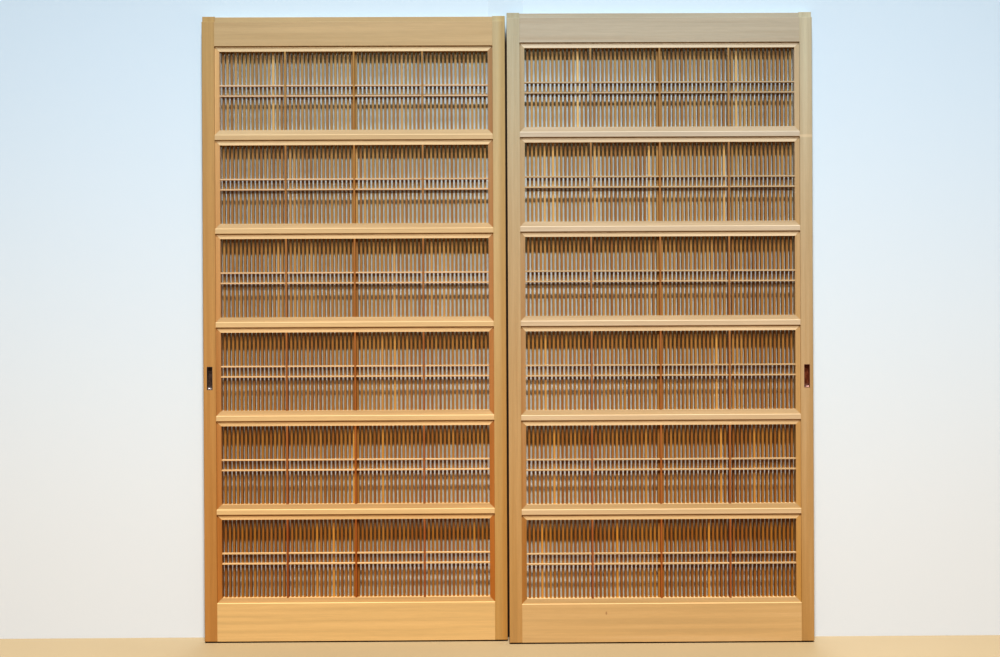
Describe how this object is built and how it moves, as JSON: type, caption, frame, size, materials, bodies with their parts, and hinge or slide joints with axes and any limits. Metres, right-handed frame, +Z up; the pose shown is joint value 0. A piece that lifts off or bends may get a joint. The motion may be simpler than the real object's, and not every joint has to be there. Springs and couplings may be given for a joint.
{
  "type": "pair of lattice sliding doors",
  "caption": "Two upright wooden door leaves with open slatted lights between rails, which slide past each other in neighbouring grooves.",
  "frame": {"origin": "on the sill, under the middle of the pair and midway between its front and back faces", "axes": "+X to the right as seen from the front, +Y from the front to the back, +Z up"},
  "size_m": [1.745, 0.063, 1.8],
  "materials": {
    "stile_wood": "planed softwood, aged to a warm brown, satin",
    "rail_wood": "planed softwood, straw coloured, satin",
    "bead_wood": "planed softwood sticks, satin",
    "grid_wood": "thin planed softwood sticks, satin",
    "slat_wood": "thin planed softwood sticks that vary from pale to brown, satin",
    "pull_bronze": "darkened, nearly black, satin"
  },
  "bodies": {
    "left_leaf": {"left_outer_stile": "stile_wood", "left_meeting_stile": "stile_wood", "left_top_rail": "rail_wood", "left_bottom_rail": "rail_wood", "left_finger_pull": "pull_bronze", "left_rail_1": "rail_wood", "left_rail_2": "rail_wood", "left_rail_3": "rail_wood", "left_rail_4": "rail_wood", "left_rail_5": "rail_wood", "left_light_1_beads": "bead_wood", "left_light_1_grid": "grid_wood", "left_light_1_slats": "slat_wood", "left_light_2_beads": "bead_wood", "left_light_2_grid": "grid_wood", "left_light_2_slats": "slat_wood", "left_light_3_beads": "bead_wood", "left_light_3_grid": "grid_wood", "left_light_3_slats": "slat_wood", "left_light_4_beads": "bead_wood", "left_light_4_grid": "grid_wood", "left_light_4_slats": "slat_wood", "left_light_5_beads": "bead_wood", "left_light_5_grid": "grid_wood", "left_light_5_slats": "slat_wood", "left_light_6_beads": "bead_wood", "left_light_6_grid": "grid_wood", "left_light_6_slats": "slat_wood"},
    "right_leaf": {"right_outer_stile": "stile_wood", "right_meeting_stile": "stile_wood", "right_top_rail": "rail_wood", "right_bottom_rail": "rail_wood", "right_finger_pull": "pull_bronze", "right_rail_1": "rail_wood", "right_rail_2": "rail_wood", "right_rail_3": "rail_wood", "right_rail_4": "rail_wood", "right_rail_5": "rail_wood", "right_light_1_beads": "bead_wood", "right_light_1_grid": "grid_wood", "right_light_1_slats": "slat_wood", "right_light_2_beads": "bead_wood", "right_light_2_grid": "grid_wood", "right_light_2_slats": "slat_wood", "right_light_3_beads": "bead_wood", "right_light_3_grid": "grid_wood", "right_light_3_slats": "slat_wood", "right_light_4_beads": "bead_wood", "right_light_4_grid": "grid_wood", "right_light_4_slats": "slat_wood", "right_light_5_beads": "bead_wood", "right_light_5_grid": "grid_wood", "right_light_5_slats": "slat_wood", "right_light_6_beads": "bead_wood", "right_light_6_grid": "grid_wood", "right_light_6_slats": "slat_wood"}
  },
  "joints": [
    {"name": "right_leaf_slide", "type": "slide", "parent": "left_leaf", "child": "right_leaf", "axis": [-1, 0, 0], "range_m": [0, 0.875]}
  ]
}
